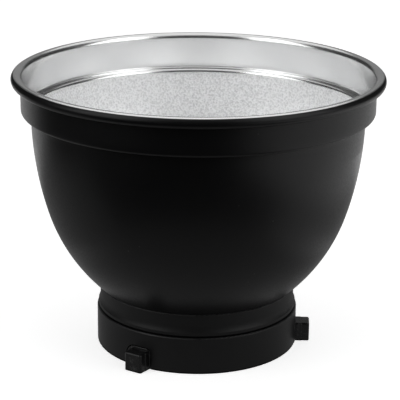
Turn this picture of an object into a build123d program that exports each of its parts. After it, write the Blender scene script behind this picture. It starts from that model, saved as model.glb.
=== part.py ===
from build123d import *
import os
from math import atan2, cos, degrees, radians, sin, sqrt, tan

# Standard reflector of a studio flash head, standing on its bayonet ring with the mouth up.
# Z is the reflector's axis and z = 0 is the bottom of the bayonet ring. Outlines are drawn as
# (radius, height) and turned about Z. Angles round the ring are counted from -Y towards +X.

# Spun shell
sheet = 1.2
rim_radius = 110.0
total_height = 167.2
curl_radius = 3.3
curl_end = -125.0
ledge_underside = 143.9
collar_corner_radius = 2.0
bowl_mouth_radius = 98.8
ledge_root_radius = 1.0
mouth_taper = 1.25
taper_height = 4.9
upper_arc_radius = 200.0
upper_arc_turn = 16.13
crease_radius = 1.7
throat_radius = 50.0

# Neck ring
neck_radius = 58.9
neck_top = 36.4
neck_flange_thickness = 3.0
neck_top_round = 0.8
flare_top = 29.2
flare_bottom = 25.2
skirt_radius = 60.0
skirt_bottom = 23.4
spigot_radius = 57.9
spigot_bore_radius = 55.0
spigot_bottom = 2.0
spigot_lead_in = 0.8

# Throat clamp ring
clamp_radius = 56.5
clamp_thickness = 2.0
clamp_edge_round = 0.5

# Bayonet ring
slip_gap = 0.1
bayonet_radius = 60.84
bayonet_height = 22.3
bayonet_top_round = 0.9
bayonet_bottom_round = 0.3

# Lugs
lug_count = 3
first_lug_angle = -32.6
lug_lift = 0.1
base_trailing = 10.2
base_leading = 6.6
base_height = 12.5
base_proud = 0.2
base_trailing_corner = 6.0
base_leading_corner = 3.0
base_edge_round = 0.5
notch_gap = 0.6
lug_width = 12.2
lug_height = 11.4
lug_reach = 69.2
lug_side_round = 1.4
lug_top_round = 1.1
lug_bottom_round = 0.2
shoulder_reach = 64.9
shoulder_step = 0.3
shoulder_round = 0.8

# M3 screws
shank_radius = 1.45
thread_radius = 1.5
clearance_radius = 1.7
button_head_radius = 2.75
button_head_height = 1.65
button_head_round = 0.9
flat_head_radius = 2.8
flat_head_height = 1.35
flat_head_rim = 0.15
socket_flats = 2.0
socket_depth = 0.9
throat_screw_count = 6
throat_screw_circle = 53.2
throat_screw_length = 4.8
flat_head_recess = 0.1
lug_screw_spacing = 6.0
lug_screw_height = 6.0
lug_screw_length = 9.0
ring_screw_height = 11.0
ring_screw_length = 4.7
thread_end_gap = 0.3

# Worked out from the above
collar_inner_radius = rim_radius - 2 * curl_radius
collar_radius = collar_inner_radius + sheet
curl_centre = Vector(rim_radius - curl_radius, total_height - curl_radius)
throat_flange_top = neck_top + sheet
clamp_top = throat_flange_top + clamp_thickness
ring_bore_radius = spigot_radius + slip_gap
flat_head_face = spigot_bore_radius + flat_head_recess
lug_angles = [first_lug_angle + 360 / lug_count * i for i in range(lug_count)]
ring_screw_angles = [angle + 180 / lug_count for angle in lug_angles]
lug_screw_sides = [-lug_screw_spacing / 2, lug_screw_spacing / 2]
upright = (Align.CENTER, Align.CENTER, Align.MIN)


def bowl_normal(slope):
    """Unit normal out of the bowl where its wall leans in by slope degrees from the vertical."""
    return Vector(cos(radians(slope)), -sin(radians(slope)))


def bowl_slope(spoke):
    """The wall's lean in degrees at the end of a spoke from its arc's centre."""
    return degrees(atan2(-spoke.Y, spoke.X))


def bowl_arc(centre, radius, start_slope, end_slope):
    """An arc of the bowl's section, from one wall slope to another."""
    slopes = (start_slope, (start_slope + end_slope) / 2, end_slope)
    return ThreePointArc(*[centre + bowl_normal(slope) * radius for slope in slopes])


def curl_point(radius, angle):
    """A point of the rolled rim's section, with its angle counted from outwards towards up."""
    return curl_centre + Vector(cos(radians(angle)), sin(radians(angle))) * radius


def curl_arc(radius, start, end):
    """An arc of the rolled rim's section."""
    return ThreePointArc(*[curl_point(radius, angle) for angle in (start, (start + end) / 2, end)])


def turned(outline, corners=()):
    """A solid turned about Z from a closed outline, with each listed (point, radius) corner rounded."""
    face = make_face(outline)
    for point, radius in corners:
        corner = face.vertices().sort_by_distance(Vector(*point))[0]
        face = fillet(corner, radius)
    return revolve(Plane.XZ * face, Axis.Z)


def radial_plane(angle, side, height, offset=0.0):
    """A plane square to a radius: x runs round the ring, y up and z outwards. side is its shift along x."""
    outwards = Vector(sin(radians(angle)), -cos(radians(angle)), 0)
    along = Vector(cos(radians(angle)), sin(radians(angle)), 0)
    return Plane(outwards * offset + along * side + Vector(0, 0, height), x_dir=along, z_dir=outwards)


def rod(plane, radius, start, end):
    """A cylinder along a plane's normal."""
    return plane * Pos(0, 0, start) * Cylinder(radius, end - start, align=upright)


def throat_planes(height):
    """Upright planes at the throat screws' places."""
    return [Plane((place.position.X, place.position.Y, height))
            for place in PolarLocations(throat_screw_circle, throat_screw_count)]


def lug_screw_planes(angle):
    """Planes at the axis of the ring for the two screws of a lug."""
    return [radial_plane(angle, side, lug_screw_height) for side in lug_screw_sides]


def ring_screw_planes():
    """Planes at the axis of the ring for the screws between the lugs."""
    return [radial_plane(angle, 0, ring_screw_height) for angle in ring_screw_angles]


def socket(plane, face):
    """The hexagonal recess in a screw's head, cut inwards from the head's face."""
    outline = RegularPolygon(socket_flats / 2, 6, major_radius=False)
    return plane * Pos(0, 0, face) * extrude(outline, -socket_depth)


def button_screw(plane):
    """A button-head screw hanging down from its head's seat at the plane."""
    head = Cylinder(button_head_radius, button_head_height, align=upright)
    head = fillet(head.edges().sort_by(Axis.Z)[-1], button_head_round)
    shank = Pos(0, 0, -throat_screw_length) * Cylinder(shank_radius, throat_screw_length, align=upright)
    return plane * (head + shank) - socket(plane, button_head_height)


def flat_head(plane, radius_gap=0.0):
    """The cone of a flat head and its rim, widest on the side of the ring's axis."""
    rim = Pos(0, 0, flat_head_face) * Cylinder(flat_head_radius + radius_gap, flat_head_rim, align=upright)
    cone_height = flat_head_height - flat_head_rim
    cone = Cone(flat_head_radius + radius_gap, shank_radius + radius_gap, cone_height, align=upright)
    return plane * (rim + Pos(0, 0, flat_head_face + flat_head_rim) * cone)


def flat_screw(plane, length):
    """A flat-head screw pointing away from the axis, flush in the spigot's bore."""
    shank = rod(plane, shank_radius, flat_head_face + flat_head_rim, flat_head_face + length)
    return flat_head(plane) + shank - socket(Plane(plane.origin, plane.x_dir, -plane.z_dir), -flat_head_face)


def countersunk_hole(plane):
    """The cut for a flat-head screw through the spigot's wall."""
    mouth = rod(plane, flat_head_radius + slip_gap, spigot_bore_radius - 1, flat_head_face + slip_gap)
    return flat_head(plane, slip_gap) + mouth + rod(plane, clearance_radius, flat_head_face, skirt_radius)


def reflector_shell():
    """One spun sheet: throat flange, bowl, ledge, collar and rolled rim."""
    crease = Vector(neck_radius, neck_top)
    mouth_corner = Vector(bowl_mouth_radius, ledge_underside)
    taper_end = mouth_corner - Vector(taper_height * tan(radians(mouth_taper)), taper_height)
    upper_centre = taper_end - bowl_normal(mouth_taper) * upper_arc_radius
    tangent_slope = mouth_taper + upper_arc_turn
    arcs_meet = upper_centre + bowl_normal(tangent_slope) * upper_arc_radius

    # The lower arc leaves the upper one tangent and ends at the crease
    chord = crease - arcs_meet
    lower_arc_radius = -chord.dot(chord) / (2 * chord.dot(bowl_normal(tangent_slope)))
    lower_centre = arcs_meet - bowl_normal(tangent_slope) * lower_arc_radius

    # The inner side runs one sheet thickness inside the outer side
    inner_lower_radius = lower_arc_radius - sheet
    inner_drop = lower_centre.Y - throat_flange_top
    inner_crease_radius = lower_centre.X + sqrt(inner_lower_radius ** 2 - inner_drop ** 2)
    inner_crease = Vector(inner_crease_radius, throat_flange_top)
    ledge_top = ledge_underside + sheet
    inner_step = sheet / cos(radians(mouth_taper)) - sheet * tan(radians(mouth_taper))
    inner_mouth_corner = Vector(bowl_mouth_radius - inner_step, ledge_top)
    inner_taper_end = upper_centre + bowl_normal(mouth_taper) * (upper_arc_radius - sheet)

    outline = [
        Polyline((throat_radius, throat_flange_top), (throat_radius, neck_top), crease),
        bowl_arc(lower_centre, lower_arc_radius, bowl_slope(crease - lower_centre), tangent_slope),
        bowl_arc(upper_centre, upper_arc_radius, tangent_slope, mouth_taper),
        Polyline(taper_end, mouth_corner, (collar_radius, ledge_underside), (collar_radius, curl_centre.Y)),
        curl_arc(curl_radius - sheet, 180, curl_end),
        Line(curl_point(curl_radius - sheet, curl_end), curl_point(curl_radius, curl_end)),
        curl_arc(curl_radius, curl_end, 180),
        Polyline((collar_inner_radius, curl_centre.Y), (collar_inner_radius, ledge_top), inner_mouth_corner,
                 inner_taper_end),
        bowl_arc(upper_centre, upper_arc_radius - sheet, mouth_taper, tangent_slope),
        bowl_arc(lower_centre, inner_lower_radius, tangent_slope, bowl_slope(inner_crease - lower_centre)),
        Line(inner_crease, (throat_radius, throat_flange_top)),
    ]
    corners = [
        (crease, crease_radius),
        (inner_crease, crease_radius - sheet),
        (mouth_corner, ledge_root_radius),
        (inner_mouth_corner, ledge_root_radius + sheet),
        ((collar_radius, ledge_underside), collar_corner_radius),
        ((collar_inner_radius, ledge_top), collar_corner_radius - sheet),
    ]
    holes = [rod(plane, clearance_radius, 0, sheet) for plane in throat_planes(neck_top)]
    return turned(outline, corners) - holes


def neck_ring():
    """Turned ring: flange under the bowl, neck with a flared skirt, and spigot inside the bayonet ring."""
    flange_underside = neck_top - neck_flange_thickness
    outline = [
        Polyline((skirt_radius, skirt_bottom), (spigot_radius, skirt_bottom), (spigot_radius, spigot_bottom),
                 (spigot_bore_radius, spigot_bottom), (spigot_bore_radius, flange_underside),
                 (throat_radius, flange_underside), (throat_radius, neck_top), (neck_radius, neck_top),
                 (neck_radius, flare_top)),
        TangentArc((neck_radius, flare_top), (skirt_radius, flare_bottom), tangent=(0, -1)),
        Line((skirt_radius, flare_bottom), (skirt_radius, skirt_bottom)),
    ]
    corners = [
        ((neck_radius, neck_top), neck_top_round),
        ((spigot_radius, spigot_bottom), spigot_lead_in),
        ((spigot_bore_radius, spigot_bottom), spigot_lead_in),
        ((spigot_bore_radius, flange_underside), spigot_lead_in),
    ]
    throat_threads = [rod(plane, thread_radius, 0, neck_flange_thickness)
                      for plane in throat_planes(flange_underside)]
    lug_planes = [plane for angle in lug_angles for plane in lug_screw_planes(angle)]
    screw_holes = [countersunk_hole(plane) for plane in lug_planes + ring_screw_planes()]
    return turned(outline, corners) - throat_threads - screw_holes


def throat_clamp_ring():
    """Flat ring that clamps the shell's throat flange down on the neck ring."""
    outline = Polyline((throat_radius, throat_flange_top), (clamp_radius, throat_flange_top),
                       (clamp_radius, clamp_top), (throat_radius, clamp_top), close=True)
    holes = [rod(plane, clearance_radius, 0, clamp_thickness) for plane in throat_planes(throat_flange_top)]
    return turned([outline], [((clamp_radius, clamp_top), clamp_edge_round)]) - holes


def throat_screws():
    """Button-head screws through the clamp ring and the shell into the neck ring."""
    return Compound(children=[button_screw(plane) for plane in throat_planes(clamp_top)])


def base_outline(gap=0.0):
    """A lug base seen along its radius: flat at the bottom, one top corner rounder than the other."""
    left = -base_trailing - gap
    right = base_leading + gap
    top = lug_lift + base_height + gap
    bottom = lug_lift if gap == 0 else -1
    outline = make_face(Polyline((left, bottom), (right, bottom), (right, top), (left, top), close=True))
    trailing_corner = outline.vertices().sort_by_distance((left, top))[0]
    outline = fillet(trailing_corner, base_trailing_corner + gap)
    leading_corner = outline.vertices().sort_by_distance((right, top))[0]
    return fillet(leading_corner, base_leading_corner + gap)


def bayonet_ring():
    """Outer ring with a notch for each lug base, open at the bottom."""
    outline = Polyline((ring_bore_radius, 0), (bayonet_radius, 0), (bayonet_radius, bayonet_height),
                       (ring_bore_radius, bayonet_height), close=True)
    corners = [
        ((bayonet_radius, bayonet_height), bayonet_top_round),
        ((bayonet_radius, 0), bayonet_bottom_round),
        ((ring_bore_radius, 0), bayonet_bottom_round),
    ]
    notches = [radial_plane(angle, 0, 0, spigot_bore_radius) * extrude(base_outline(notch_gap), lug_reach)
               for angle in lug_angles]
    thread_end = flat_head_face + ring_screw_length + thread_end_gap
    threads = [rod(plane, thread_radius, spigot_bore_radius, thread_end) for plane in ring_screw_planes()]
    return turned([outline], corners) - notches - threads


def rounded_block(width, depth, side_round):
    """A block from z = 0 outwards, with its outer end's edges rounded and y = 0 at its bottom."""
    block = Box(width, lug_height, depth, align=(Align.CENTER, Align.MIN, Align.MIN))
    block = fillet(block.edges().filter_by(Axis.Y).sort_by(Axis.Z)[-2:], side_round)
    block = fillet(block.faces().sort_by(Axis.Y)[-1].edges().sort_by(Axis.Z)[1:], lug_top_round)
    return fillet(block.faces().sort_by(Axis.Y)[0].edges().sort_by(Axis.Z)[1:], lug_bottom_round)


def bayonet_lug(angle):
    """Lug casting: a curved base plate in the ring's notch, and a shouldered block that stands out of it."""
    plate_radius = bayonet_radius + base_proud
    plate = Cylinder(plate_radius, bayonet_height, align=upright)
    plate -= Cylinder(ring_bore_radius, bayonet_height, align=upright)
    base = plate & (radial_plane(angle, 0, 0, spigot_bore_radius) * extrude(base_outline(), lug_reach))
    outer_face = base.faces().sort_by_distance(Vector(0, 0, lug_lift))[-1]
    base = fillet(outer_face.edges(), base_edge_round)

    root_radius = ring_bore_radius + 1
    shoulder = rounded_block(lug_width, shoulder_reach - root_radius, shoulder_round)
    nose = rounded_block(lug_width - 2 * shoulder_step, lug_reach - root_radius, lug_side_round)
    block = radial_plane(angle, 0, lug_lift, root_radius) * (shoulder + nose)
    thread_end = flat_head_face + lug_screw_length + thread_end_gap
    threads = [rod(plane, thread_radius, spigot_bore_radius, thread_end)
               for plane in lug_screw_planes(angle)]
    return base + block - threads


def lug_screws(angle):
    """The two flat-head screws that hold a lug from inside the spigot."""
    return Compound(children=[flat_screw(plane, lug_screw_length) for plane in lug_screw_planes(angle)])


def ring_screws():
    """The flat-head screws that hold the bayonet ring between its lugs."""
    return Compound(children=[flat_screw(plane, ring_screw_length) for plane in ring_screw_planes()])


parts = {
    "reflector_shell": reflector_shell(),
    "neck_ring": neck_ring(),
    "throat_clamp_ring": throat_clamp_ring(),
    "throat_screws": throat_screws(),
    "bayonet_ring": bayonet_ring(),
    "ring_screws": ring_screws(),
}
for number, angle in enumerate(lug_angles, start=1):
    parts[f"bayonet_lug_{number}"] = bayonet_lug(angle)
    parts[f"lug_screws_{number}"] = lug_screws(angle)

os.makedirs("parts", exist_ok=True)
for name, shape in parts.items():
    export_step(shape, f"parts/{name}.step")
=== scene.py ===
from math import atan2, cos, pi, radians, sin, sqrt, tan

import bpy
import numpy as np
from mathutils import Matrix, Vector, noise


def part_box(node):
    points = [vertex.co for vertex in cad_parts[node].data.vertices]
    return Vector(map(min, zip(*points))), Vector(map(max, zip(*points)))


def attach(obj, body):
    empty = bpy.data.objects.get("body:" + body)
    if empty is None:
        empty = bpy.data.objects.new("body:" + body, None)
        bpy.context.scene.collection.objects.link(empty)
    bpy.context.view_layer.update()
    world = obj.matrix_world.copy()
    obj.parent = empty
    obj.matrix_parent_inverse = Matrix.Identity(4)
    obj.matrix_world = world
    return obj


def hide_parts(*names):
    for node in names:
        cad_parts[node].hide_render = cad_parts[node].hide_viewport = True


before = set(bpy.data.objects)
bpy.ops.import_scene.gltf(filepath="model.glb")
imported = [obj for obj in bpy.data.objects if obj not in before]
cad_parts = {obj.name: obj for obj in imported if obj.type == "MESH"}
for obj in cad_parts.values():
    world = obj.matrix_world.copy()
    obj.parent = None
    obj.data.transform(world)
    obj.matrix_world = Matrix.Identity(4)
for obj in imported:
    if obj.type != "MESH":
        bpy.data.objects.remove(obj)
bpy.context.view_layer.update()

MM = 0.001

# The spun shell's sizes, as in the CAD model. Its rim, height and neck plane come from the frame.
SHELL_LOW, SHELL_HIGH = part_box("reflector_shell")
RIM_RADIUS = SHELL_HIGH.x
TOTAL_HEIGHT = SHELL_HIGH.z
NECK_TOP = SHELL_LOW.z
HALF_SHEET = 0.6 * MM
CURL_RADIUS = 3.3 * MM
CURL_END = -125.0
LEDGE_UNDERSIDE = 143.9 * MM
COLLAR_CORNER_RADIUS = 2.0 * MM
BOWL_MOUTH_RADIUS = 98.8 * MM
LEDGE_ROOT_RADIUS = 1.0 * MM
MOUTH_TAPER = 1.25
TAPER_HEIGHT = 4.9 * MM
UPPER_ARC_RADIUS = 200.0 * MM
UPPER_ARC_TURN = 16.13
CREASE_RADIUS = 1.7 * MM
THROAT_RADIUS = 50.0 * MM
NECK_RADIUS = 58.9 * MM

# Where one finish of the sheet ends and the next begins
PAINT_EDGE = 50.0
HAMMER_TOP = 142.6 * MM

# Stretches of the sheet below the ledge, from the throat up
BOWL = ["flange", "crease", "lower_arc", "upper_arc", "taper"]

# Mesh steps. The hammered skin's hidden back takes one row in BACK_ROWS of the plain section's.
AROUND = 288
ARC_STEP = 3.0 * MM
FILLET_STEP = 15.0
CURL_STEP = 6.0
HAMMER_AROUND = 640
HAMMER_STEP = 0.94 * MM
BACK_ROWS = 3

# Edges sharper than these angles stay sharp in the shading, on the skins and on the CAD's nodes
SKIN_EDGE = 40
NODE_EDGE = 32

# Hammer marks. The pit's edge and the swell are measured against a mark, whose size and depth count as 1.
MARK_SIZE = 1.9 * MM
MARK_DEPTH = 0.24 * MM
PIT_EDGE = 0.62
SWELL_SCALE = 0.37
SWELL_SHARE = 0.25
TOP_FADE = 1.0 * MM
LOW_FADE = 6.0 * MM

# Camera
CAMERA_ELEVATION = 17.83
CAMERA_DISTANCE = 0.9848
CAMERA_ROLL = 0.474
CAMERA_HEIGHT_AIM = 0.0872
CAMERA_LENS = 147.2
CAMERA_SHIFT = 0.0059

# What the object's surfaces see round them
CEILING_DIM = 0.03
CEILING_BRIGHT = 0.12
WALL_BRIGHT = 0.20
FLOOR_GLOW = 0.72
FLOOR_REACH = 4.0
TABLE_LIGHT_HEIGHT = 1.0 * MM

# Lamps that light the bowl's inside
LAMP_COUNT = 4
LAMP_LEAN = 38.0
LAMP_CONE = 4.8
LAMP_DISTANCE = 1.5
LAMP_POWER = 66
LAMP_BLEND = 0.3
LAMP_SIZE = 0.01


def straight(start, end, step):
    """Points of a straight stretch of the sheet, each with the normal on its outer side."""
    run = end - start
    along = run.normalized()
    normal = Vector((along.y, -along.x))
    count = max(1, round(run.length / step))
    return [(start + run * (i / count), normal) for i in range(count + 1)]


def bend(centre, radius, start, end, step):
    """Points of a bend of the sheet between two angles. Its outer side faces out in a left turn."""
    count = max(1, round(abs(end - start) / step))
    facing = 1 if end > start else -1
    points = []
    for i in range(count + 1):
        angle = radians(start + (end - start) * i / count)
        spoke = Vector((cos(angle), sin(angle)))
        points.append((centre + spoke * radius, spoke * facing))
    return points


def sheet_section(bowl_step):
    """The middle of the sheet from the throat to the curl's end, as named stretches of (radius, height)."""
    flange_z = NECK_TOP + HALF_SHEET
    ledge_z = LEDGE_UNDERSIDE + HALF_SHEET
    curl_centre = Vector((RIM_RADIUS - CURL_RADIUS, TOTAL_HEIGHT - CURL_RADIUS))
    wall_radius = curl_centre.x - CURL_RADIUS + HALF_SHEET
    slope = radians(MOUTH_TAPER)
    mouth_normal = Vector((cos(slope), -sin(slope)))
    mouth_along = Vector((sin(slope), cos(slope)))

    # Outer side: taper, upper arc, and the lower arc that meets the neck
    mouth_corner = Vector((BOWL_MOUTH_RADIUS, LEDGE_UNDERSIDE))
    taper_end = mouth_corner - mouth_along * (TAPER_HEIGHT / cos(slope))
    upper_centre = taper_end - mouth_normal * UPPER_ARC_RADIUS
    tangent_slope = MOUTH_TAPER + UPPER_ARC_TURN
    tangent_normal = Vector((cos(radians(tangent_slope)), -sin(radians(tangent_slope))))
    arcs_meet = upper_centre + tangent_normal * UPPER_ARC_RADIUS
    chord = Vector((NECK_RADIUS, NECK_TOP)) - arcs_meet
    lower_radius = -chord.dot(chord) / (2 * chord.dot(tangent_normal))
    lower_centre = arcs_meet - tangent_normal * lower_radius

    # Middle of the sheet: the crease bend touches the flange and the lower arc
    middle_radius = lower_radius - HALF_SHEET
    crease = CREASE_RADIUS - HALF_SHEET
    drop = lower_centre.y - flange_z - crease
    crease_reach = sqrt((middle_radius - crease) ** 2 - drop ** 2)
    crease_centre = Vector((lower_centre.x + crease_reach, flange_z + crease))
    to_crease = crease_centre - lower_centre
    crease_angle = atan2(to_crease.y, to_crease.x) * 180 / pi

    # Middle of the sheet: the ledge's two bends
    root = LEDGE_ROOT_RADIUS + HALF_SHEET
    corner = COLLAR_CORNER_RADIUS - HALF_SHEET
    taper_start = taper_end - mouth_normal * HALF_SHEET
    ledge_corner = taper_start + mouth_along * ((ledge_z - taper_start.y) / mouth_along.y)
    root_turn = 90 - MOUTH_TAPER
    root_reach = root * tan(radians(root_turn / 2))
    root_centre = Vector((ledge_corner.x + root_reach, ledge_z - root))
    corner_centre = Vector((wall_radius - corner, ledge_z + corner))

    throat_edge = Vector((THROAT_RADIUS, flange_z))
    lower_angle_step = bowl_step / lower_radius * 180 / pi
    upper_angle_step = bowl_step / UPPER_ARC_RADIUS * 180 / pi
    return {
        "flange": straight(throat_edge, Vector((crease_centre.x, flange_z)), bowl_step),
        "crease": bend(crease_centre, crease, -90, crease_angle, FILLET_STEP),
        "lower_arc": bend(lower_centre, middle_radius, crease_angle, -tangent_slope, lower_angle_step),
        "upper_arc": bend(upper_centre, UPPER_ARC_RADIUS - HALF_SHEET, -tangent_slope, -MOUTH_TAPER,
                          upper_angle_step),
        "taper": straight(taper_start, ledge_corner - mouth_along * root_reach, bowl_step),
        "root": bend(root_centre, root, 90 + root_turn, 90, FILLET_STEP),
        "ledge": straight(Vector((root_centre.x, ledge_z)), Vector((corner_centre.x, ledge_z)), ARC_STEP),
        "corner": bend(corner_centre, corner, -90, 0, FILLET_STEP),
        "wall": straight(Vector((wall_radius, corner_centre.y)), Vector((wall_radius, curl_centre.y)),
                         ARC_STEP),
        "curl": bend(curl_centre, CURL_RADIUS - HALF_SHEET, 180, CURL_END, CURL_STEP),
    }


def joined(section, names):
    """The named stretches one after another, without the points that they share."""
    points = []
    for name in names:
        points += section[name][1 if points else 0:]
    return points


def side(points, offset):
    """The points moved along their normals."""
    return [tuple(point + normal * offset) for point, normal in points]


def ring_mesh(name, rows, around):
    """A closed ring: rows of (radius, height) arrays round the axis, the last row joined to the first."""
    angles = np.arange(around) * 2 * pi / around
    grid = np.zeros((len(rows), around, 3))
    for i, (radius, height) in enumerate(rows):
        grid[i, :, 0] = np.cos(angles) * radius
        grid[i, :, 1] = np.sin(angles) * radius
        grid[i, :, 2] = height
    index = np.arange(len(rows) * around).reshape(len(rows), around)
    below = np.roll(index, -1, axis=0)
    faces = np.stack([index, np.roll(index, -1, axis=1), np.roll(below, -1, axis=1), below], axis=-1)
    mesh = bpy.data.meshes.new(name)
    mesh.from_pydata(grid.reshape(-1, 3).tolist(), [], faces.reshape(-1, 4).tolist())
    mesh.validate()
    mesh.shade_smooth()
    mesh.set_sharp_from_angle(angle=radians(SKIN_EDGE))
    piece = bpy.data.objects.new(name, mesh)
    bpy.context.scene.collection.objects.link(piece)
    return piece


def hammer_depth(x, y, z, fade):
    """How far the hammered face stands into the bowl at a point: rounded pits with ridges between them."""
    spot = Vector((x, y, z)) / MARK_SIZE
    distances, _ = noise.voronoi(spot)
    pit = min(1.0, distances[0] / PIT_EDGE)
    ridge = pit * pit * (3 - 2 * pit)
    swell = noise.noise(spot * SWELL_SCALE)
    return fade * (ridge * MARK_DEPTH + swell * SWELL_SHARE * MARK_DEPTH)


def hammered_rows(points, around):
    """Rows of the bowl's inner side, pushed in and out by the hammer's marks."""
    angles = np.arange(around) * 2 * pi / around
    rows = []
    for point, normal in points:
        inner = point - normal * HALF_SHEET
        above_flange = inner.y - NECK_TOP - 2 * HALF_SHEET
        fade = max(0.0, min(1.0, (HAMMER_TOP - inner.y) / TOP_FADE, above_flange / LOW_FADE))
        depth = np.array([hammer_depth(inner.x * cos(a), inner.x * sin(a), inner.y, fade) for a in angles])
        rows.append((inner.x - normal.x * depth, inner.y - normal.y * depth))
    return rows


def cut(points, height):
    """The stretch up to a height, and the rest of it, both with the point where they part."""
    for i in range(1, len(points)):
        (below, below_normal), (above, above_normal) = points[i - 1], points[i]
        if above.y >= height:
            share = (height - below.y) / (above.y - below.y)
            middle = (below.lerp(above, share), below_normal.lerp(above_normal, share).normalized())
            return points[:i] + [middle], [middle] + points[i:]


def curl_part(points, angle):
    """How many points of the curl lie on the bright side of the paint's edge."""
    step = (180 - CURL_END) / (len(points) - 1)
    return sum(1 for i in range(len(points)) if 180 - i * step > angle)


def make_skins():
    """The shell's skins: black outside, bright collar and lip, hammered bowl. They meet in the sheet."""
    section = sheet_section(ARC_STEP)
    low = joined(section, BOWL)
    high = joined(section, ["root", "ledge", "corner", "wall"])
    curl = section["curl"]
    below, above = cut(low, HAMMER_TOP)
    whole = low + high[1:]
    bright_end = curl_part(curl, PAINT_EDGE)

    coat = side(whole + curl[1:], HALF_SHEET)
    coat += side(curl[:bright_end - 2:-1], -HALF_SHEET)
    coat += side(reversed(whole + curl[1:bright_end]), 0)
    outer_coat = ring_mesh("outer_coat", coat, AROUND)

    lip = above + high[1:] + curl[1:bright_end]
    inner_bright = ring_mesh("inner_bright", side(lip, 0) + side(reversed(lip), -HALF_SHEET), AROUND)

    fine_below, _ = cut(joined(sheet_section(HAMMER_STEP), BOWL), HAMMER_TOP)
    back = below[::BACK_ROWS] + [below[-1]]
    bowl = side(back, 0) + hammered_rows(fine_below[::-1], HAMMER_AROUND)
    inner_hammered = ring_mesh("inner_hammered", bowl, HAMMER_AROUND)
    return outer_coat, inner_bright, inner_hammered


def add_node(tree, kind, **settings):
    """A new shader node with its settings."""
    node = tree.nodes.new(kind)
    for key, value in settings.items():
        setattr(node, key, value)
    return node


def new_material(name):
    """A material with its tree and its Principled shader."""
    made = bpy.data.materials.new(name)
    made.use_nodes = True
    return made, made.node_tree, made.node_tree.nodes["Principled BSDF"]


def place(tree):
    """The point on the piece, in metres in the shared frame."""
    return add_node(tree, "ShaderNodeTexCoord").outputs["Object"]


def maths(tree, operation, first, second=0.0):
    """One step of arithmetic. Each value is a socket or a number."""
    node = add_node(tree, "ShaderNodeMath", operation=operation)
    for socket, value in zip(node.inputs, (first, second)):
        if isinstance(value, (int, float)):
            socket.default_value = value
        else:
            tree.links.new(value, socket)
    return node.outputs[0]


def coordinates(tree):
    """The point's x, y and z."""
    parts = add_node(tree, "ShaderNodeSeparateXYZ")
    tree.links.new(place(tree), parts.inputs[0])
    return parts.outputs


def from_axis(tree):
    """The point's distance from the axis, and its height."""
    x, y, z = coordinates(tree)
    square = maths(tree, "ADD", maths(tree, "MULTIPLY", x, x), maths(tree, "MULTIPLY", y, y))
    return maths(tree, "SQRT", square), z


def lathe_place(tree, squeeze):
    """The point on the piece, squeezed across the axis, so that a noise there makes lathe rings."""
    x, y, _ = coordinates(tree)
    across, height = from_axis(tree)
    joint = add_node(tree, "ShaderNodeCombineXYZ")
    tree.links.new(maths(tree, "MULTIPLY", x, squeeze), joint.inputs[0])
    tree.links.new(maths(tree, "MULTIPLY", y, squeeze), joint.inputs[1])
    tree.links.new(maths(tree, "ADD", across, height), joint.inputs[2])
    return joint.outputs[0]


def grain(tree, where, size, detail=2.0):
    """A noise with grains of a size in metres."""
    node = add_node(tree, "ShaderNodeTexNoise")
    node.inputs["Scale"].default_value = 1 / size
    node.inputs["Detail"].default_value = detail
    tree.links.new(where, node.inputs["Vector"])
    return node.outputs[0]


def ramp(tree, value, start, end, low, high):
    """The value's stretch from start to end, spread from low to high."""
    node = add_node(tree, "ShaderNodeMapRange")
    tree.links.new(value, node.inputs["Value"])
    for key, number in (("From Min", start), ("From Max", end), ("To Min", low), ("To Max", high)):
        node.inputs[key].default_value = number
    return node.outputs["Result"]


def blend_colours(tree, factor, first, second):
    """A blend of two colours. Each is a socket or (red, green, blue)."""
    node = add_node(tree, "ShaderNodeMix", data_type="RGBA")
    tree.links.new(factor, node.inputs["Factor"])
    for socket, value in zip((node.inputs[6], node.inputs[7]), (first, second)):
        if isinstance(value, tuple):
            socket.default_value = (*value, 1.0)
        else:
            tree.links.new(value, socket)
    return node.outputs[2]


def raise_by(tree, shader, *layers):
    """Bump from (height socket, depth in metres) layers, one over another."""
    below = None
    for height, depth in layers:
        node = add_node(tree, "ShaderNodeBump")
        node.inputs["Distance"].default_value = depth
        tree.links.new(height, node.inputs["Height"])
        if below:
            tree.links.new(below, node.inputs["Normal"])
        below = node.outputs[0]
    tree.links.new(below, shader.inputs["Normal"])


def speckle(tree, where, size, share):
    """Rare small specks: one where a cell's middle is close and its draw is under the share."""
    node = add_node(tree, "ShaderNodeTexVoronoi")
    node.inputs["Scale"].default_value = 1 / size
    tree.links.new(where, node.inputs["Vector"])
    parts = add_node(tree, "ShaderNodeSeparateColor")
    tree.links.new(node.outputs["Color"], parts.inputs[0])
    drawn = maths(tree, "LESS_THAN", parts.outputs[0], share)
    return maths(tree, "MULTIPLY", drawn, ramp(tree, node.outputs["Distance"], 0.10, 0.16, 1.0, 0.0))


def black_enamel():
    """Satin black enamel on the spun sheet: a faint orange peel, lathe rings under it and a few specks."""
    made, tree, shader = new_material("black_enamel")
    where = place(tree)
    cloud = grain(tree, where, 18 * MM, 3.0)
    peel = grain(tree, where, 1.1 * MM)
    rings = grain(tree, lathe_place(tree, 0.004), 1.6 * MM)
    specks = speckle(tree, where, 3.2 * MM, 0.02)
    body = blend_colours(tree, cloud, (0.0018, 0.0018, 0.0022), (0.0034, 0.0034, 0.0038))
    tree.links.new(blend_colours(tree, specks, body, (0.03, 0.03, 0.028)), shader.inputs["Base Color"])
    tree.links.new(ramp(tree, peel, 0.3, 0.7, 0.33, 0.43), shader.inputs["Roughness"])
    raise_by(tree, shader, (rings, 0.010 * MM), (peel, 0.016 * MM))
    shader.inputs["Specular IOR Level"].default_value = 0.34
    return made


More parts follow.
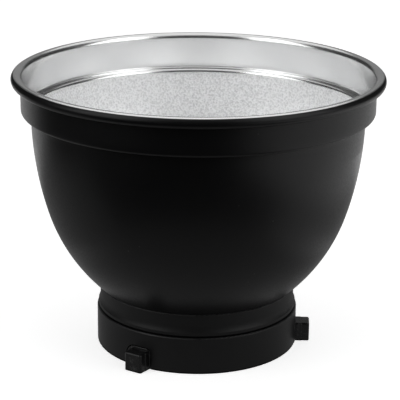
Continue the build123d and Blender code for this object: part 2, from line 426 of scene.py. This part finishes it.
def spun_aluminium(name, ring_depth, roughness):
    """Clear-finished spun aluminium: fine lathe rings, a little haze, and faint smudges."""
    made, tree, shader = new_material(name)
    where = place(tree)
    rings = grain(tree, lathe_place(tree, 0.006), 0.5 * MM, 3.0)
    haze = grain(tree, where, 14 * MM, 4.0)
    dust = grain(tree, where, 0.7 * MM)
    tint = blend_colours(tree, haze, (0.93, 0.935, 0.94), (0.985, 0.985, 0.98))
    tree.links.new(tint, shader.inputs["Base Color"])
    tree.links.new(ramp(tree, maths(tree, "ADD", haze, dust), 0.7, 1.3, roughness - 0.02, roughness + 0.03),
                   shader.inputs["Roughness"])
    shader.inputs["Metallic"].default_value = 1.0
    raise_by(tree, shader, (rings, ring_depth), (dust, 0.004 * MM))
    return made


def hammered_aluminium():
    """Clear-finished aluminium on the hammer marks: small facets in the bump, a painted glint and shade that
    make the colour paler and darker along the same noise, and a fine grain.
    """
    made, tree, shader = new_material("hammered_aluminium")
    where = place(tree)
    facets = grain(tree, where, 1.2 * MM, 1.0)
    fine = grain(tree, where, 0.6 * MM)
    haze = grain(tree, where, 14 * MM, 4.0)
    # Painted glints and shade: the colour turns paler and darker with the facets' noise, the same noise that
    # bumps them
    painted_facet_glint = ramp(tree, facets, 0.32, 0.60, 0.0, 1.0)
    tint = blend_colours(tree, painted_facet_glint, (0.76, 0.763, 0.766), (0.99, 0.993, 0.996))
    tree.links.new(tint, shader.inputs["Base Color"])
    tree.links.new(ramp(tree, haze, 0.3, 0.7, 0.28, 0.33), shader.inputs["Roughness"])
    shader.inputs["Metallic"].default_value = 0.45
    raise_by(tree, shader, (facets, 0.34 * MM), (fine, 0.04 * MM))
    return made


def turned_black(name, dark, light, roughness, ring_size, ring_depth, edge):
    """Black on a turned part: tool rings, clouds, a fine tooth, and a painted highlight: a paler band along
    the edge at (radius, height).
    """
    made, tree, shader = new_material(name)
    where = place(tree)
    rings = grain(tree, lathe_place(tree, 0.01), ring_size)
    tooth = grain(tree, where, 0.5 * MM)
    cloud = grain(tree, where, 9 * MM, 3.0)
    across, height = from_axis(tree)
    reach = maths(tree, "ADD", across, height)
    # Painted highlight: a paler band along the edge at (radius, height), broken up by the clouds, standing
    # for the light line on the edge's rounding
    corner = ramp(tree, reach, sum(edge) - 0.95 * MM, sum(edge) - 0.6 * MM, 0.0, 1.0)
    paler_mask = maths(tree, "MULTIPLY", corner, ramp(tree, cloud, 0.35, 0.65, 0.35, 1.0))
    body = blend_colours(tree, cloud, dark, light)
    # Base colour: the clouds, with the paler painted-highlight band over them at the edge
    tree.links.new(blend_colours(tree, paler_mask, body, (0.035, 0.035, 0.036)), shader.inputs["Base Color"])
    uneven = ramp(tree, tooth, 0.3, 0.7, roughness - 0.05, roughness + 0.06)
    tree.links.new(uneven, shader.inputs["Roughness"])
    raise_by(tree, shader, (rings, ring_depth), (tooth, 0.010 * MM))
    shader.inputs["Specular IOR Level"].default_value = 0.36
    return made


def cast_black():
    """Black paint over a die casting: a soft unevenness, a pebbled tooth and paler rubbed places."""
    made, tree, shader = new_material("cast_black")
    where = place(tree)
    swell = grain(tree, where, 5 * MM)
    tooth = grain(tree, where, 0.45 * MM, 3.0)
    paler_mask = ramp(tree, grain(tree, where, 3.5 * MM, 4.0), 0.56, 0.70, 0.0, 1.0)
    body = blend_colours(tree, swell, (0.0045, 0.0045, 0.0048), (0.0080, 0.0080, 0.0084))
    tree.links.new(blend_colours(tree, paler_mask, body, (0.05, 0.05, 0.05)), shader.inputs["Base Color"])
    tree.links.new(ramp(tree, tooth, 0.3, 0.7, 0.24, 0.34), shader.inputs["Roughness"])
    raise_by(tree, shader, (swell, 0.05 * MM), (tooth, 0.012 * MM))
    shader.inputs["Specular IOR Level"].default_value = 0.42
    return made


def screw_metal(name, dark, light, roughness, metallic):
    """A screw's finish: small mottling and a fine tooth."""
    made, tree, shader = new_material(name)
    where = place(tree)
    mottle = grain(tree, where, 1.2 * MM, 3.0)
    tooth = grain(tree, where, 0.15 * MM)
    tree.links.new(blend_colours(tree, mottle, dark, light), shader.inputs["Base Color"])
    uneven = ramp(tree, mottle, 0.3, 0.7, roughness - 0.06, roughness + 0.08)
    tree.links.new(uneven, shader.inputs["Roughness"])
    shader.inputs["Metallic"].default_value = metallic
    raise_by(tree, shader, (tooth, 0.004 * MM))
    return made


def cover(piece, material):
    """Puts one material on a piece, in each of its material slots."""
    if not piece.data.materials:
        piece.data.materials.append(material)
    for material_slot in piece.material_slots:
        material_slot.link = "OBJECT"
        material_slot.material = material


def soften(piece):
    """Shades a CAD node's round faces smooth, and keeps its edges."""
    split = piece.modifiers.new("edges", "EDGE_SPLIT")
    split.split_angle = radians(NODE_EDGE)


def make_floor():
    """A pale floor that glows a little. The object doesn't reflect it: the table lights stand for it."""
    mesh = bpy.data.meshes.new("floor")
    corners = [(x * FLOOR_REACH, y * FLOOR_REACH, 0) for x, y in ((-1, -1), (1, -1), (1, 1), (-1, 1))]
    mesh.from_pydata(corners, [], [(0, 1, 2, 3)])
    floor = bpy.data.objects.new("floor", mesh)
    bpy.context.scene.collection.objects.link(floor)
    floor.visible_glossy = False
    floor.visible_diffuse = False
    made, _, shader = new_material("pale_floor")
    shader.inputs["Base Color"].default_value = (0.8, 0.8, 0.8, 1)
    shader.inputs["Roughness"].default_value = 0.9
    shader.inputs["Specular IOR Level"].default_value = 0.0
    shader.inputs["Emission Color"].default_value = (1, 1, 1, 1)
    shader.inputs["Emission Strength"].default_value = FLOOR_GLOW
    floor.data.materials.append(made)


def make_world():
    """White to the camera. To the object, a dim room with a paler wall behind it."""
    world = bpy.data.worlds.new("room")
    bpy.context.scene.world = world
    world.use_nodes = True
    tree = world.node_tree
    background = tree.nodes["Background"]
    parts = add_node(tree, "ShaderNodeSeparateXYZ")
    tree.links.new(add_node(tree, "ShaderNodeTexCoord").outputs["Generated"], parts.inputs[0])
    x, y, z = parts.outputs
    ceiling = ramp(tree, z, 0.3, 0.85, CEILING_DIM, CEILING_BRIGHT)
    strip = ramp(tree, maths(tree, "ABSOLUTE", x), 0.30, 0.45, 1.0, 0.0)
    wall = maths(tree, "MULTIPLY", strip, ramp(tree, y, 0.1, 0.3, 0.0, WALL_BRIGHT))
    seen = add_node(tree, "ShaderNodeLightPath").outputs["Is Camera Ray"]
    strength = maths(tree, "MAXIMUM", maths(tree, "MAXIMUM", ceiling, wall), seen)
    tree.links.new(strength, background.inputs["Strength"])
    background.inputs["Color"].default_value = (1, 1, 1, 1)


def soft_box(name, position, target, width, height, radiance):
    """A flat light with an even face, aimed at a point."""
    light = bpy.data.lights.new(name, "AREA")
    light.shape = "RECTANGLE"
    light.size = width
    light.size_y = height
    light.energy = radiance * pi * width * height
    box = bpy.data.objects.new(name, light)
    box.location = position
    box.rotation_euler = (Vector(target) - Vector(position)).to_track_quat("-Z", "Y").to_euler()
    box.visible_camera = False
    bpy.context.scene.collection.objects.link(box)
    return box


def table_light(name, spot, width, depth, radiance, shape="RECTANGLE"):
    """The light that a stretch of the table sends up."""
    box = soft_box(name, (*spot, TABLE_LIGHT_HEIGHT), (*spot, 1.0), width, depth, radiance)
    box.data.shape = shape


def bowl_lamps():
    """Narrow lamps round the axis that shine through the bowl's mouth, each on the wall across from it."""
    mouth = Vector((0, 0, HAMMER_TOP))
    for number in range(LAMP_COUNT):
        turn = (number + 0.5) * 2 * pi / LAMP_COUNT
        lean = radians(LAMP_LEAN)
        away = Vector((sin(lean) * cos(turn), sin(lean) * sin(turn), cos(lean)))
        light = bpy.data.lights.new("bowl_lamp", "SPOT")
        light.energy = LAMP_POWER
        light.spot_size = radians(LAMP_CONE)
        light.spot_blend = LAMP_BLEND
        light.shadow_soft_size = LAMP_SIZE
        lamp = bpy.data.objects.new("bowl_lamp", light)
        lamp.location = mouth + away * LAMP_DISTANCE
        lamp.rotation_euler = (-away).to_track_quat("-Z", "Y").to_euler()
        lamp.visible_camera = False
        bpy.context.scene.collection.objects.link(lamp)


def make_lights():
    """Boxes above and at both sides in front, the table's own light, and the lamps for the bowl."""
    bowl_lamps()
    soft_box("top_box", (0.0, 0.55, 1.5), (0.0, 0.55, 0.0), width=2.2, height=2.4, radiance=0.58)
    soft_box("right_box", (1.2, -0.86, 1.3), (0.0, -0.86, 1.3), width=1.5, height=2.1, radiance=1.3)
    soft_box("left_box", (-1.2, -0.86, 1.3), (0.0, -0.86, 1.3), width=1.5, height=2.1, radiance=1.3)
    table_light("right_table", (0.95, 0.0), width=1.4, depth=1.2, radiance=0.8)
    table_light("back_table", (0.0, 0.82), width=1.2, depth=1.15, radiance=0.9)
    table_light("near_table", (0.0, -0.03), width=0.36, depth=0.36, radiance=0.16, shape="DISK")
    table_light("left_near", (-0.26, 0.12), width=0.28, depth=0.5, radiance=0.22)
    table_light("right_near", (0.19, 0.1), width=0.12, depth=0.5, radiance=0.25)


def make_camera():
    """A camera in front and a little above, aimed at a point on the reflector's axis."""
    data = bpy.data.cameras.new("camera")
    data.lens = CAMERA_LENS
    data.shift_x = CAMERA_SHIFT
    camera = bpy.data.objects.new("camera", data)
    rise = radians(CAMERA_ELEVATION)
    back = Vector((0, -cos(rise), sin(rise)))
    level_right = Vector((1, 0, 0))
    level_up = back.cross(level_right)
    roll = radians(CAMERA_ROLL)
    right = level_right * cos(roll) + level_up * sin(roll)
    up = level_up * cos(roll) - level_right * sin(roll)
    spot = Vector((0, 0, CAMERA_HEIGHT_AIM)) + back * CAMERA_DISTANCE
    camera.matrix_world = Matrix.Translation(spot) @ Matrix((right, up, back)).transposed().to_4x4()
    bpy.context.scene.collection.objects.link(camera)
    bpy.context.scene.camera = camera


def finish_cad_nodes():
    """Materials on the nodes that stay as the CAD made them."""
    ring_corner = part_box("bayonet_ring")[1]
    neck = turned_black("neck_black", (0.0028, 0.0028, 0.0030), (0.0050, 0.0050, 0.0053), roughness=0.50,
                        ring_size=0.9 * MM, ring_depth=0.012 * MM, edge=(NECK_RADIUS, NECK_TOP))
    ring = turned_black("ring_black", (0.0030, 0.0030, 0.0033), (0.0055, 0.0055, 0.0058), roughness=0.40,
                        ring_size=0.7 * MM, ring_depth=0.014 * MM, edge=(ring_corner.x, ring_corner.z))
    cast = cast_black()
    bright = spun_aluminium("turned_aluminium", ring_depth=0.012 * MM, roughness=0.30)
    steel = screw_metal("screw_steel", (0.42, 0.42, 0.43), (0.56, 0.56, 0.57),
                        roughness=0.30, metallic=1.0)
    black = screw_metal("screw_black", (0.012, 0.012, 0.013), (0.03, 0.03, 0.032),
                        roughness=0.42, metallic=0.6)
    finishes = {"neck_ring": neck, "bayonet_ring": ring, "throat_clamp_ring": bright, "throat_screws": steel,
                "ring_screws": black}
    for number in (1, 2, 3):
        finishes[f"bayonet_lug_{number}"] = cast
        finishes[f"lug_screws_{number}"] = black
    for node, material in finishes.items():
        cover(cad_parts[node], material)
        soften(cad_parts[node])


def finish_skins():
    """Materials, slots and body of the three skins, which stand for the CAD's shell."""
    coat, bright, hammered = make_skins()
    cover(coat, black_enamel())
    cover(bright, spun_aluminium("spun_aluminium", ring_depth=0.004 * MM, roughness=0.20))
    cover(hammered, hammered_aluminium())
    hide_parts("reflector_shell")
    for skin in (coat, bright, hammered):
        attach(skin, "root")


bpy.context.scene.view_settings.view_transform = "Standard"
make_camera()
make_world()
make_lights()
make_floor()
finish_cad_nodes()
finish_skins()
